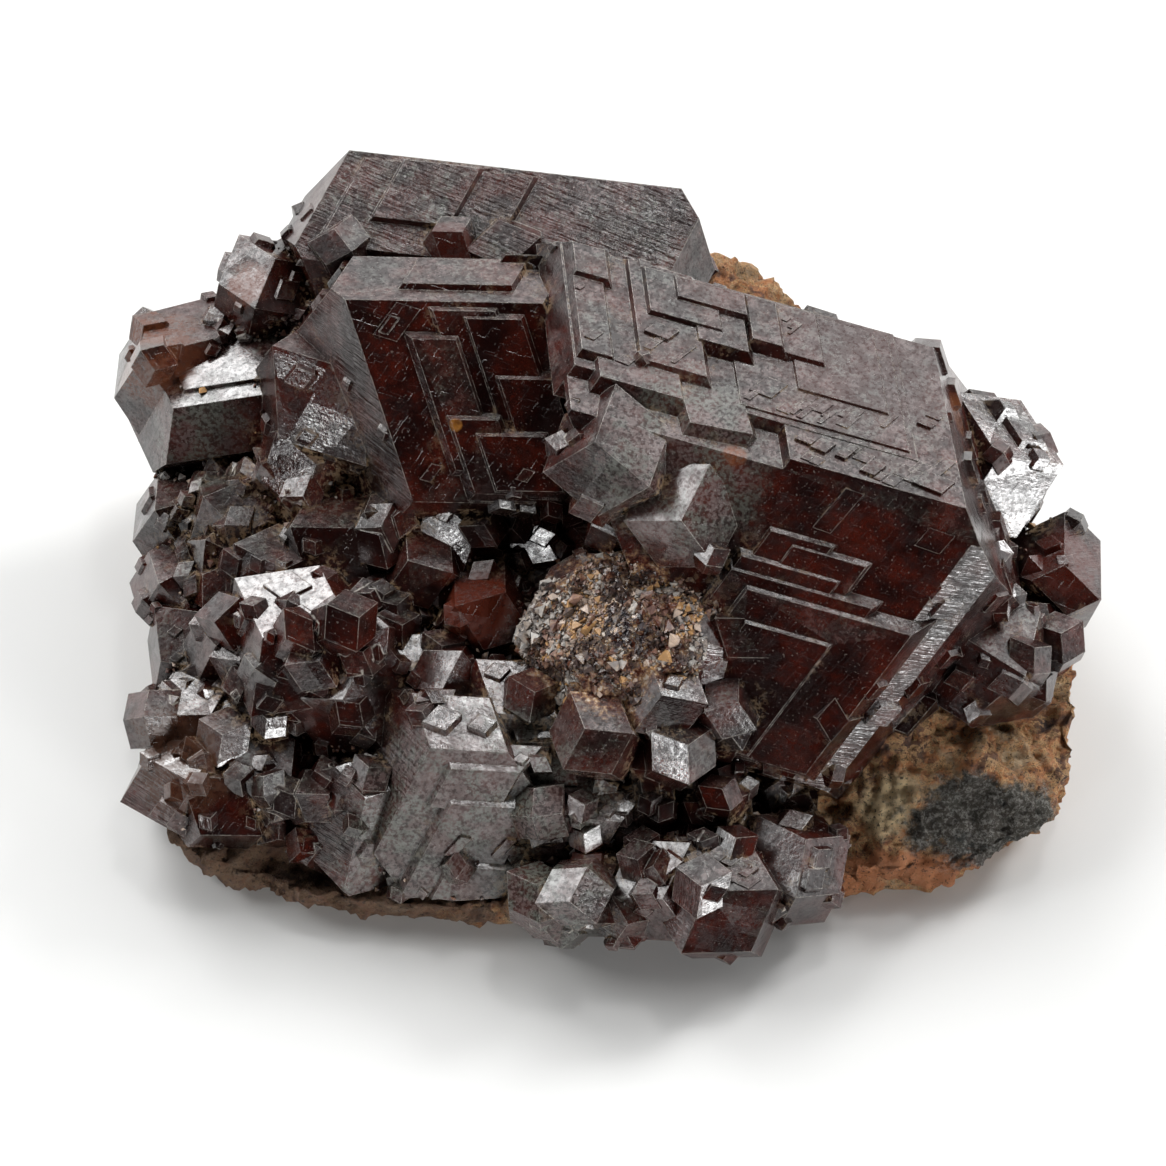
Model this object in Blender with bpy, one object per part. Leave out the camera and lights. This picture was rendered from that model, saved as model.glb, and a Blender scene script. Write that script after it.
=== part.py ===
"""Mali garnet cluster: brown grandite garnets grown together on a piece of weathered rock.

Every crystal is the rhombic dodecahedron of garnet, cut by twelve planes around its centre.
The crystals grew into one mass, so they are one solid; the rock they sit on is the other.
The origin is on the surface that the rock rests on, below the middle of the cluster.
+X is to the right and +Y away from someone who looks at the best side. Lengths are in mm.
"""
import math
import random
from collections import namedtuple

import bmesh
import bpy
from mathutils import Euler, Vector

MM = 0.001

# Driving dimensions
GAP = 0.3
ROCK_CENTRE = (2.0, 2.0)
ROCK_SUNK = 1.5
ROCK_ROUGHNESS = 0.45
ROCK_RINGS = (0.2, 0.38, 0.54, 0.68, 0.8, 0.9, 1.0)
OUTLINE_STEPS = 3
CRUST_CENTRE = (-1.5, 1.5)
CRUST_REACH = (24.0, 18.0)
CRUST_DEPTH = 6.0
CRUST_ROUGHNESS = 0.7
CRUST_DETAIL = 4
FAR = 60.0
WELD = 1e-6

DARK_GARNET = (0.060, 0.022, 0.018, 1.0)
BROWN_ROCK = (0.24, 0.13, 0.065, 1.0)

# The broken edge of the rock, seen from above and round it from the right: x, y and rim height
ROCK_OUTLINE = [
    (30.2, -3.5, 6.5),
    (30.2, -8.0, 6.0),
    (28.0, -12.0, 5.0),
    (22.5, -15.5, 4.0),
    (14.0, -15.5, 3.5),
    (4.0, -16.5, 3.5),
    (-8.0, -17.5, 3.5),
    (-17.0, -16.5, 3.0),
    (-25.0, -13.0, 3.5),
    (-25.5, -4.0, 4.0),
    (-24.0, 8.0, 6.0),
    (-24.0, 17.5, 11.5),
    (-21.0, 21.5, 15.0),
    (-16.0, 22.8, 17.0),
    (-6.0, 21.0, 15.0),
    (4.0, 22.0, 17.5),
    (10.0, 22.3, 16.0),
    (15.0, 20.3, 12.0),
    (22.0, 14.0, 9.0),
    (28.5, 4.0, 6.0),
]

# The twelve faces of a rhombic dodecahedron, as directions in a crystal's own axes
DODECAHEDRON = [
    (1, 1, 0),
    (1, -1, 0),
    (-1, 1, 0),
    (-1, -1, 0),
    (1, 0, 1),
    (1, 0, -1),
    (-1, 0, 1),
    (-1, 0, -1),
    (0, 1, 1),
    (0, 1, -1),
    (0, -1, 1),
    (0, -1, -1),
]

Crystal = namedtuple("Crystal", "at turn half reach")
Step = namedtuple("Step", "front back left right rise")


def crystal(at, turn, half, reach=None):
    """A crystal: its centre, its turn in degrees, and how far its faces lie from the centre."""
    return Crystal(at, turn, half, reach or {})


# The largest crystal: a broad top face and a dark front face, with two rough edges planed off
MAIN = crystal((12.7, 8.5, 12.0), (79, -42, -42), 13.0, {
    (1, 1, 0): 11.2,
    (1, 0, 1): 14.3,
    (1, 0, -1): 11.5,
    (1, -1, 0): 16.7,
    (0, 1, -1): 7.7,
    (0, 1, 1): 19.1,
    (0, -1, 1): 19.0,
    (-1, 0, 1): 8.2,
    (-1, 0, -1): 13.0,
    (0, -1, -1): 14.0,
    (-1, 1, 0): 12.0,
    (-1, -1, 0): 8.0,
    (2, 1, -1): 12.9,
    (2, -1, 1): 17.1,
})

# The second crystal, upright beside it, with a square dark face full of steps
SECOND = crystal((-8.1, 11.5, 17.0), (76, -31, 46), 9.0, {
    (1, 1, 0): 7.6,
    (0, 1, 1): 6.3,
    (1, 0, 1): 8.9,
    (-1, 1, 0): 6.9,
    (1, 0, -1): 5.4,
    (0, 1, -1): 9.2,
    (0, -1, 1): 8.0,
})

# The crystal behind the second one
BACK = crystal((-6.5, 18.5, 15.0), (-162, 36, 40), 9.0, {
    (-1, 0, -1): 6.8,
    (1, -1, 0): 2.5,
    (-1, -1, 0): 12.5,
    (0, 1, -1): 12.6,
    (1, 0, -1): 13.5,
    (0, -1, -1): 9.4,
    (-1, 1, 0): 4.0,
    (0, 1, 1): 6.0,
})

# The gray crystal at the lower edge, and the plate of the same growth to the right of it
FRONT_TURN = (93, -36, -38)
FRONT = crystal((-6.0, -11.0, 7.0), FRONT_TURN, 7.0, {
    (1, 1, 0): 5.4,
    (1, 0, 1): 3.1,
    (0, 1, 1): 5.6,
    (1, -1, 0): 6.5,
    (1, 0, -1): 3.5,
    (0, 1, -1): 5.3,
    (0, -1, 1): 7.9,
})
FRONT_PLATE = crystal((-1.6, -11.6, 5.9), FRONT_TURN, 3.4, {
    (1, -1, 0): 2.3,
    (0, -1, 1): 5.6,
    (-1, 1, 0): 1.5,
})

# The crystal at the left end
LEFT = crystal((-23.6, 14.7, 12.0), (177, 55, 146), 5.0, {
    (-1, 0, -1): 3.2,
    (-1, -1, 0): 5.2,
    (0, -1, -1): 3.7,
    (-1, 0, 1): 7.5,
})

# Two crystals behind and beside the right end of the largest one
RIGHT_BACK = crystal((26.0, 10.0, 12.0), (75, -28, -18), 6.0, {
    (1, 1, 0): 4.0,
    (1, 0, 1): 5.7,
    (1, 0, -1): 1.6,
    (1, -1, 0): 3.3,
    (-1, 0, 1): 9.0,
    (0, 1, -1): 2.5,
})

RIGHT_TIP = crystal((29.2, 2.7, 9.0), (51, -24, -40), 3.0, {
    (1, 1, 0): 2.5,
    (1, 0, 1): 3.7,
    (1, 0, -1): 2.1,
    (1, -1, 0): 3.2,
    (-1, 0, 1): 5.0,
})

# The knobbly mass in the middle, coated with fine grains
DRUSE_CENTRE = (3.6, -4.2, 12.2)
DRUSE_REACH = (7.2, 5.7, 5.7)
DRUSE_ROUGHNESS = 0.5
DRUSE_DETAIL = 3

LARGE = [MAIN, SECOND, BACK, FRONT, FRONT_PLATE, LEFT, RIGHT_BACK, RIGHT_TIP]

LEFT_SHOULDER = [
    crystal((-24.6, 15.6, 12.0), (76, -31, 66), 4.0),
    crystal((-19.5, 18.5, 17.0), (51, -24, 10), 2.8),
    crystal((-18.5, 17.0, 13.0), (30, 44, 26), 3.0),
    crystal((-15.0, 11.5, 15.0), (76, -31, 26), 4.6),
]

BETWEEN_LARGE = [
    crystal((-4.6, 17.8, 20.9), (-162, 36, 20), 2.3),
    crystal((-14.5, 18.0, 21.5), (40, 20, 0), 1.6),
    crystal((-8.0, 18.0, 22.0), (76, -31, 46), 1.5),
]

BESIDE_MAIN = [
    crystal((2.0, 1.8, 22.0), (61, 10, 20), 3.3),
    crystal((7.2, 3.2, 22.1), (79, -42, -36), 3.0),
    crystal((6.0, -0.5, 20.0), (108, -2, 113), 3.0),
]

LEFT_EDGE = [
    crystal((-24.2, 7.2, 8.0), (76, -31, 66), 3.2),
    crystal((-24.4, 2.8, 7.2), (76, -31, 80), 2.8),
    crystal((-23.4, -0.8, 6.2), (51, -24, 40), 2.9),
    crystal((-21.8, 1.2, 9.6), (100, 20, 60), 1.7),
]

LEFT_MIDDLE = [
    crystal((-17.0, 7.5, 13.6), (98, -67, 173), 2.6),
    crystal((-21.2, 5.6, 10.8), (30, 60, 20), 2.6),
    crystal((-18.6, 0.8, 11.0), (76, -31, 16), 2.9),
    crystal((-15.2, 2.8, 11.4), (76, -31, 46), 3.1),
    crystal((-16.5, -3.5, 10.6), (177, 55, 146), 4.2),
    crystal((-13.6, -5.6, 9.4), (108, -2, 113), 3.6),
    crystal((-12.0, -1.6, 10.6), (76, -31, 30), 2.4),
    crystal((-18.0, -6.0, 8.6), (60, 80, 20), 2.4),
    crystal((-10.2, -4.8, 9.4), (93, -36, -30), 2.4),
    crystal((-22.0, 3.2, 10.2), (12, 70, 33), 1.9),
    crystal((-21.2, -2.4, 8.6), (76, -31, 96), 2.4),
    crystal((-11.4, 3.6, 12.6), (76, -31, 52), 2.4),
]

LOWER_LEFT = [
    crystal((-23.2, -6.2, 5.8), (79, -42, 42), 3.0),
    crystal((-23.6, -9.5, 4.8), (177, 55, 106), 3.1),
    crystal((-21.6, -10.5, 4.6), (76, -31, 46), 3.0),
    crystal((-24.2, -3.8, 4.0), (76, -31, 86), 2.0),
    crystal((-19.2, -9.4, 5.0), (93, -36, -60), 3.2),
    crystal((-20.6, -7.0, 6.2), (70, 45, 60), 2.6),
]

AROUND_FRONT = [
    crystal((-12.6, -11.5, 3.8), (93, -36, -13), 4.0, {(1, 1, 0): 5.2, (1, 0, 1): 3.4}),
    crystal((-3.1, -9.6, 9.1), FRONT_TURN, 2.0),
    crystal((-4.2, -7.4, 9.4), FRONT_TURN, 3.0),
    crystal((0.2, -15.5, 2.4), FRONT_TURN, 2.2),
]

LOWER_EDGE = [
    crystal((0.5, -17.0, 4.4), (76, -31, 46), 2.3),
    crystal((-2.0, -18.0, 4.2), (20, 30, 80), 1.6),
    crystal((8.0, -17.6, 4.9), (79, -42, -22), 3.4),
    crystal((5.0, -16.6, 4.8), (108, -2, 113), 3.0),
    crystal((12.3, -15.3, 4.3), (51, -24, 20), 2.9),
    crystal((2.5, -18.0, 4.2), (33, 66, 10), 1.8),
    crystal((11.2, -16.6, 4.2), (60, 10, 33), 1.9),
]

HOLLOW = [
    crystal((-7.5, 3.5, 12.2), (98, -67, 173), 2.9),
    crystal((-9.5, 0.8, 12.0), (79, -42, -42), 2.3),
    crystal((-6.0, -1.8, 11.0), (76, -31, 66), 2.6),
    crystal((-8.0, -6.0, 10.4), (108, -2, 113), 2.1),
    crystal((-2.2, -10.2, 8.6), (76, -31, 46), 2.2),
    crystal((-3.0, 4.0, 11.2), (60, 35, 10), 2.4),
]

MIDDLE = [
    crystal((6.2, -1.9, 16.6), (98, -67, 173), 2.0),
    crystal((9.1, -5.0, 14.6), (79, -42, -42), 2.0),
    crystal((8.3, -9.4, 11.8), (108, -2, 113), 1.8),
    crystal((4.8, -8.9, 12.9), (79, -30, -30), 2.3),
    crystal((2.0, 0.8, 16.8), (51, -24, 20), 1.6),
    crystal((4.0, -7.5, 11.5), (76, -31, 30), 2.6),
    crystal((8.0, -9.0, 10.5), (51, -24, -10), 2.0),
    crystal((1.0, -7.5, 11.5), (30, 0, 70), 2.2),
]

BELOW_MIDDLE = [
    crystal((0.0, -9.0, 9.5), (20, 10, 50), 1.2),
    crystal((2.0, -10.5, 9.0), (45, 60, 50), 1.2),
    crystal((4.0, -10.5, 9.0), (76, -31, 20), 1.3),
    crystal((6.5, -10.5, 9.5), (60, 0, 80), 1.3),
    crystal((1.0, -12.0, 8.0), (10, 80, 35), 1.2),
    crystal((4.0, -12.5, 7.5), (76, -10, 46), 1.6),
    crystal((8.0, -12.0, 7.5), (36, -31, 46), 1.8),
]

LOWER_RIGHT = [
    crystal((24.0, -3.5, 9.0), (79, -42, -62), 4.0),
    crystal((27.0, -1.5, 8.0), (20, -42, -62), 2.6),
    crystal((19.0, -6.0, 8.0), (60, -42, -30), 2.2),
]

SMALL_GROUPS = [
    LEFT_SHOULDER,
    BETWEEN_LARGE,
    BESIDE_MAIN,
    LEFT_EDGE,
    LEFT_MIDDLE,
    LOWER_LEFT,
    AROUND_FRONT,
    LOWER_EDGE,
    HOLLOW,
    MIDDLE,
    BELOW_MIDDLE,
    LOWER_RIGHT,
]

# Growth steps: raised plates bounded by the four faces around the one they lie on.
# Each gives how far those four faces lie from the crystal's centre, then the plate's rise.
MAIN_TOP_SIDES = ((1, 1, 0), (1, 0, 1), (0, 1, -1), (0, 1, 1), (1, 0, -1))
MAIN_TOP_STEPS = [
    Step(14.3, 7.5, 8.8, 11.5, 0.60),
    Step(12.2, 7.6, 19.1, 9.5, 0.66),
    Step(11.9, 7.5, 11.0, 9.2, 0.80),
    Step(7.0, 7.6, 19.0, -4.7, 1.50),
    Step(11.7, 7.5, 19.0, -5.1, 1.20),
    Step(12.9, 7.4, 18.1, -1.9, 1.00),
    Step(11.4, 7.5, 16.1, -0.4, 1.30),
    Step(7.2, 7.1, 14.1, 2.3, 1.80),
    Step(8.4, 7.2, 15.5, 0.8, 1.60),
    Step(9.2, 7.2, 13.1, 2.0, 1.45),
    Step(8.3, 7.2, 10.4, 3.8, 1.55),
    Step(8.2, 7.3, 9.9, 5.7, 1.20),
    Step(10.0, 7.2, 8.0, 8.5, 0.95),
]

MAIN_FRONT_SIDES = ((1, 0, 1), (1, 1, 0), (0, -1, 1), (0, 1, 1), (1, -1, 0))
MAIN_FRONT_STEPS = [
    Step(8.1, 18.9, 7.6, 9.9, 0.25),
    Step(7.7, 18.8, 6.3, 11.9, 0.35),
    Step(6.6, 18.9, 8.2, 11.3, 0.50),
    Step(5.9, 18.8, 8.3, 13.5, 0.65),
    Step(5.3, 18.7, 7.2, 16.0, 0.90),
    Step(3.7, 18.6, 6.4, 13.1, 1.10),
]

SECOND_FRONT_SIDES = ((0, 1, 1), (1, 1, 0), (-1, 0, 1), (-1, 1, 0), (1, 0, 1))
SECOND_FRONT_STEPS = [
    Step(7.3, 8.9, 3.0, 6.6, 0.30),
    Step(7.0, 8.8, 1.6, 7.8, 0.45),
    Step(6.0, 7.6, 4.6, 4.4, 0.60),
    Step(4.1, 8.7, 1.1, 8.5, 0.70),
    Step(2.1, 8.9, 4.2, 5.3, 0.90),
    Step(1.4, 8.8, 3.2, 7.4, 1.10),
]

SECOND_TOP_SIDES = ((1, 1, 0), (0, 1, 1), (1, 0, -1), (0, 1, -1), (1, 0, 1))
SECOND_TOP_STEPS = [
    Step(5.3, 5.0, 6.0, 7.2, 0.35),
    Step(3.2, 5.2, 2.0, 8.4, 0.80),
]

LEFT_TOP_SIDES = ((-1, 0, -1), (-1, -1, 0), (0, 1, -1), (0, -1, -1), (-1, 0, 1))
LEFT_TOP_STEPS = [
    Step(0.5, 3.5, 1.5, 2.5, 0.8),
    Step(4.3, 3.5, 2.9, 6.0, 0.25),
]

FRONT_FACE_SIDES = ((1, 0, 1), (1, 1, 0), (0, -1, 1), (0, 1, 1), (1, -1, 0))
FRONT_FACE_STEPS = [
    Step(4.6, 1.3, 4.4, 2.3, 0.35),
    Step(2.7, 7.7, 3.7, 4.0, 0.60),
    Step(-0.9, 7.6, 2.4, 6.2, 0.90),
]
FRONT_PLATE_STEPS = [
    Step(3.3, 2.0, 3.3, 4.4, 0.45),
]

BACK_TOP_SIDES = ((-1, 0, -1), (-1, 1, 0), (0, -1, -1), (-1, -1, 0), (0, 1, -1))
BACK_TOP_STEPS = [
    Step(3.4, 9.0, 11.6, 4.0, 0.40),
    Step(1.8, 9.2, 9.8, 1.5, 0.75),
]

RIGHT_BACK_TOP_SIDES = ((1, 1, 0), (1, 0, 1), (0, 1, -1), (0, 1, 1), (1, 0, -1))
RIGHT_BACK_TOP_STEPS = [
    Step(4.9, 2.0, 4.5, 1.2, 0.40),
    Step(3.3, 2.1, 4.8, 0.6, 0.80),
]

STEPPED_FACES = [
    (MAIN, MAIN_TOP_SIDES, MAIN_TOP_STEPS),
    (MAIN, MAIN_FRONT_SIDES, MAIN_FRONT_STEPS),
    (SECOND, SECOND_FRONT_SIDES, SECOND_FRONT_STEPS),
    (SECOND, SECOND_TOP_SIDES, SECOND_TOP_STEPS),
    (LEFT, LEFT_TOP_SIDES, LEFT_TOP_STEPS),
    (FRONT, FRONT_FACE_SIDES, FRONT_FACE_STEPS),
    (FRONT_PLATE, FRONT_FACE_SIDES, FRONT_PLATE_STEPS),
    (BACK, BACK_TOP_SIDES, BACK_TOP_STEPS),
    (RIGHT_BACK, RIGHT_BACK_TOP_SIDES, RIGHT_BACK_TOP_STEPS),
]


def crust_height(x, y):
    """Height of the dark crust between the crystals: it slopes down to the front and the ends."""
    return 11.3 + 0.4 * y - 0.005 * x * x


def rock_height(x, y):
    """Height of the rock's upper side, away from its rim; its bare lump is at the lower right."""
    lump = math.exp(-((x - 23.5) / 8.5) ** 2 - ((y + 9.0) / 7.5) ** 2)
    return 8.0 + 0.42 * y - 0.004 * x * x + 7.0 * lump


def half_space_solid(planes, centre):
    """A closed convex solid bounded by planes, each a normal and a distance from the centre."""
    shape = bmesh.new()
    bmesh.ops.create_cube(shape, size=2.0 * FAR)
    for normal, distance in planes:
        everything = shape.verts[:] + shape.edges[:] + shape.faces[:]
        cut = bmesh.ops.bisect_plane(
            shape,
            geom=everything,
            dist=1e-5,
            plane_co=normal * distance,
            plane_no=normal,
            clear_outer=True,
        )
        rim = [item for item in cut["geom_cut"] if isinstance(item, bmesh.types.BMEdge)]
        if rim:
            bmesh.ops.edgeloop_fill(shape, edges=rim)
    bmesh.ops.translate(shape, verts=shape.verts, vec=Vector(centre))
    return shape


def turned_normal(turn, face):
    """The direction of a crystal face after the crystal's turn."""
    angles = [math.radians(angle) for angle in turn]
    return Euler(angles, "XYZ").to_matrix() @ Vector(face).normalized()


def crystal_solid(grown):
    """The rhombic dodecahedron of one crystal, with the reach of single faces changed."""
    distances = {face: grown.half for face in DODECAHEDRON}
    distances.update(grown.reach)
    planes = [(turned_normal(grown.turn, face), reach) for face, reach in distances.items()]
    return half_space_solid(planes, grown.at)


def step_solid(grown, sides, step):
    """One raised plate on a face: the faces beside it bound it, and it is rooted in the crystal."""
    top = turned_normal(grown.turn, sides[0])
    level = grown.reach.get(sides[0], grown.half)
    planes = [(top, level + step.rise), (-top, 1.2 - level)]
    for face, reach in zip(sides[1:], (step.front, step.back, step.left, step.right)):
        planes.append((turned_normal(grown.turn, face), reach))
    return half_space_solid(planes, grown.at)


def move_along_normals(shape, verts, distance):
    """Move vertices along their normals, each by what distance() gives next."""
    shape.normal_update()
    moves = [(vert, vert.normal * distance()) for vert in verts]
    for vert, move in moves:
        vert.co += move


def rock_ring(shape, share, height):
    """A ring of vertices round the rock, at a share of the way out from its centre."""
    ring = []
    count = len(ROCK_OUTLINE)
    for index in range(count):
        start = Vector(ROCK_OUTLINE[index])
        end = Vector(ROCK_OUTLINE[(index + 1) % count])
        for step in range(OUTLINE_STEPS):
            x, y, rim = start.lerp(end, step / OUTLINE_STEPS)
            x = ROCK_CENTRE[0] + (x - ROCK_CENTRE[0]) * share
            y = ROCK_CENTRE[1] + (y - ROCK_CENTRE[1]) * share
            ring.append(shape.verts.new((x, y, height(x, y, rim))))
    return ring


def rock_solid(swell=0.0):
    """The rock, before its resting face is cut, swollen along its normals if asked."""
    rng = random.Random(7)
    shape = bmesh.new()
    rings = []
    for share in ROCK_RINGS:
        blend = share ** 5
        rings.append(rock_ring(
            shape,
            share,
            lambda x, y, rim: (1.0 - blend) * rock_height(x, y) + blend * rim,
        ))
    rings.append(rock_ring(shape, 0.985, lambda x, y, rim: 0.45 * rim))
    rings.append(rock_ring(shape, 0.90, lambda x, y, rim: -ROCK_SUNK))
    top = shape.verts.new((*ROCK_CENTRE, rock_height(*ROCK_CENTRE)))
    count = len(rings[0])
    for index in range(count):
        after = (index + 1) % count
        shape.faces.new((top, rings[0][index], rings[0][after]))
        for inner, outer in zip(rings, rings[1:]):
            shape.faces.new((inner[index], outer[index], outer[after], inner[after]))
    shape.faces.new(rings[-1])
    bmesh.ops.triangulate(shape, faces=shape.faces[:])
    bmesh.ops.recalc_face_normals(shape, faces=shape.faces)
    rough = [top] + [vert for ring in rings[:-1] for vert in ring]
    move_along_normals(shape, rough, lambda: ROCK_ROUGHNESS * rng.uniform(-1.0, 1.0))
    move_along_normals(shape, list(shape.verts), lambda: swell)
    return shape


def cut_flat(shape):
    """Cut the shape off at the resting plane and close it with one flat face."""
    cut = bmesh.ops.bisect_plane(
        shape,
        geom=shape.verts[:] + shape.edges[:] + shape.faces[:],
        plane_co=(0.0, 0.0, 0.0),
        plane_no=(0.0, 0.0, -1.0),
        clear_outer=True,
    )
    rim = [item for item in cut["geom_cut"] if isinstance(item, bmesh.types.BMEdge)]
    bmesh.ops.edgeloop_fill(shape, edges=rim)
    return shape


def crust_solid():
    """The dark crust that fills the space between and below the crystals."""
    rng = random.Random(11)
    shape = bmesh.new()
    bmesh.ops.create_icosphere(shape, subdivisions=CRUST_DETAIL, radius=1.0)
    for vert in shape.verts:
        x = CRUST_CENTRE[0] + CRUST_REACH[0] * vert.co.x
        y = CRUST_CENTRE[1] + CRUST_REACH[1] * vert.co.y
        fullness = math.copysign(abs(vert.co.z) ** 0.6, vert.co.z)
        vert.co = (x, y, crust_height(x, y) + 0.5 * CRUST_DEPTH * (fullness - 1.0))
    move_along_normals(shape, shape.verts[:], lambda: CRUST_ROUGHNESS * rng.uniform(-1.0, 1.0))
    return shape


def druse_solid():
    """The knobbly mass in the middle of the cluster."""
    rng = random.Random(5)
    shape = bmesh.new()
    bmesh.ops.create_icosphere(shape, subdivisions=DRUSE_DETAIL, radius=1.0)
    bmesh.ops.scale(shape, verts=shape.verts, vec=Vector(DRUSE_REACH))
    move_along_normals(shape, shape.verts[:], lambda: DRUSE_ROUGHNESS * rng.uniform(-1.0, 1.0))
    bmesh.ops.translate(shape, verts=shape.verts, vec=Vector(DRUSE_CENTRE))
    return shape


def join_shapes(shapes):
    """One bmesh holding several closed shapes, which may overlap, in metres."""
    joined = bmesh.new()
    for shape in shapes:
        bmesh.ops.recalc_face_normals(shape, faces=shape.faces)
        part = bpy.data.meshes.new("part")
        shape.to_mesh(part)
        joined.from_mesh(part)
        bpy.data.meshes.remove(part)
        shape.free()
    bmesh.ops.scale(joined, vec=Vector((MM, MM, MM)), verts=joined.verts)
    return joined


def add_object(name, shape, material=None):
    """A mesh object in the scene from a bmesh."""
    mesh = bpy.data.meshes.new(name)
    shape.to_mesh(mesh)
    shape.free()
    if material:
        mesh.materials.append(material)
    body = bpy.data.objects.new(name, mesh)
    bpy.context.scene.collection.objects.link(body)
    return body


def principled(name, colour, roughness):
    """A plain material of one colour."""
    material = bpy.data.materials.new(name)
    material.use_nodes = True
    shader = material.node_tree.nodes["Principled BSDF"]
    shader.inputs["Base Color"].default_value = colour
    shader.inputs["Roughness"].default_value = roughness
    return material


def garnet_shapes():
    """All closed shapes that are grown together in the garnet."""
    shapes = [crust_solid(), druse_solid()]
    shapes += [crystal_solid(grown) for grown in LARGE]
    shapes += [crystal_solid(grown) for group in SMALL_GROUPS for grown in group]
    for grown, sides, steps in STEPPED_FACES:
        shapes += [step_solid(grown, sides, step) for step in steps]
    return shapes


def keep_largest_piece(shape):
    """Delete the loose crumbs that the rock leaves of the garnet below it."""
    left = set(shape.verts)
    pieces = []
    while left:
        piece = set()
        front = [left.pop()]
        while front:
            vert = front.pop()
            piece.add(vert)
            for edge in vert.link_edges:
                other = edge.other_vert(vert)
                if other in left:
                    left.remove(other)
                    front.append(other)
        pieces.append(piece)
    pieces.sort(key=len)
    for piece in pieces[:-1]:
        bmesh.ops.delete(shape, geom=list(piece), context="VERTS")


def grown_together(name, shapes, cutter, material):
    """The union of the shapes, less the cutter, as one closed mesh."""
    body = add_object(name, join_shapes(shapes), material)
    cut = body.modifiers.new("cut by the rock", "BOOLEAN")
    cut.operation = "DIFFERENCE"
    cut.solver = "EXACT"
    cut.use_self = True
    cut.object = cutter
    graph = bpy.context.evaluated_depsgraph_get()
    fused = bmesh.new()
    fused.from_mesh(body.evaluated_get(graph).to_mesh())
    body.modifiers.remove(cut)
    keep_largest_piece(fused)
    bmesh.ops.remove_doubles(fused, verts=fused.verts, dist=WELD)
    bmesh.ops.triangulate(fused, faces=fused.faces)
    fused.to_mesh(body.data)
    fused.free()
    return body


def main():
    """Build the rock and the garnet that grew on it."""
    for old in list(bpy.data.objects):
        bpy.data.objects.remove(old, do_unlink=True)
    garnet = principled("dark garnet", DARK_GARNET, 0.25)
    stone = principled("weathered rock", BROWN_ROCK, 0.8)
    add_object("matrix_rock", join_shapes([cut_flat(rock_solid())]), stone)
    clearance = add_object("rock_clearance", join_shapes([rock_solid(swell=GAP)]))
    clearance.hide_render = True
    clearance.display_type = "WIRE"
    grown_together("garnet_crystals", garnet_shapes(), clearance, garnet)


main()
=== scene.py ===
"""The look of the mali garnet cluster: growth steps, small crystals, grains, rock and light.

The frame gives the two grown bodies. Their flat faces are found again here, and every face
gets the growth lines and plates that run parallel to its crystal's edges.
Lengths in the tables below are in millimetres unless a comment says otherwise.
"""
import math
import random

import bpy
import numpy as np
from mathutils import Euler, Matrix, Vector, noise
from mathutils.bvhtree import BVHTree


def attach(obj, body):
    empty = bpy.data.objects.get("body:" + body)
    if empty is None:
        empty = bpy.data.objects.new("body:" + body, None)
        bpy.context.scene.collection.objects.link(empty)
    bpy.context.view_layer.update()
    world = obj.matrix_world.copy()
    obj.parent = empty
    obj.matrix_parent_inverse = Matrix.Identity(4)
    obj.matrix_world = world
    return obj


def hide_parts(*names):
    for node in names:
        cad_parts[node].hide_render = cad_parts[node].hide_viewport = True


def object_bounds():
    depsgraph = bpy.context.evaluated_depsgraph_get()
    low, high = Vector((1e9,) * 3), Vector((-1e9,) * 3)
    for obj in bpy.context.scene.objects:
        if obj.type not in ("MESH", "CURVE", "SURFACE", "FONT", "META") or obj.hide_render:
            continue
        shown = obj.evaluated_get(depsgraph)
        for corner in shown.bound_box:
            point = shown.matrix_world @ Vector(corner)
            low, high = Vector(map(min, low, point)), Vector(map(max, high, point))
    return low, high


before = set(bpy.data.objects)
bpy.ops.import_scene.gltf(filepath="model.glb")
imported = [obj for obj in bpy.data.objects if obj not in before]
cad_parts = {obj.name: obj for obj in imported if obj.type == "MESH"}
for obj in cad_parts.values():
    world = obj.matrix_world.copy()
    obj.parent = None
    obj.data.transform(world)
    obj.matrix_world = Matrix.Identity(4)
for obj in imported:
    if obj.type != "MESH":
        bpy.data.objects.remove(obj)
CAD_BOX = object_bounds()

MM = 0.001

# Random draws: a seed for each kind of shape, and how many places are tried
SEED_TINTS, SEED_PLATES, SEED_PARALLEL = 3, 21, 57
SEED_SMALL, SEED_CRUMBS, SEED_DRUSE = 31, 67, 41
CROWD_TRIES = 2600
SMALL_TRIES = 11000
CRUMB_TRIES = 15000
GRAIN_TRIES = 40000

# Camera, as the photograph was taken: distance and height angle, and its lens
CAMERA_DISTANCE = 215.0
CAMERA_ELEVATION = 55.0
CAMERA_LENS = 110.6
CAMERA_TARGET = (0.0, 0.0, 12.0)

# Lights: name, angle from +Y towards +X, angle above the floor, diameter in metres and radiance
LIGHT_DISTANCE = 1.3
LIGHTS = [
    ("light_back", 20.0, 45.0, 0.65, 0.5),
    ("light_left", -30.0, 44.0, 0.61, 8.5),
    ("light_side", -76.0, 42.0, 0.52, 5.5),
    ("light_key", 52.0, 34.0, 0.35, 30.0),
    ("light_right", 138.0, 10.0, 0.43, 20.0),
    ("light_top", 27.0, 67.0, 0.17, 22.0),
    ("light_glint", -144.0, 29.0, 0.15, 22.0),
]

# The pale dome: its strength, its colour and the direction in which it is dark
DOME_STRENGTH = 1.42
DOME_COLOUR = (0.985, 0.995, 1.0)
DOME_DARK_SIDE = (180.0, 25.0)
FLOOR_COLOUR = (0.74, 0.74, 0.73, 1.0)
FLOOR_REACH = 3.0

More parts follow.
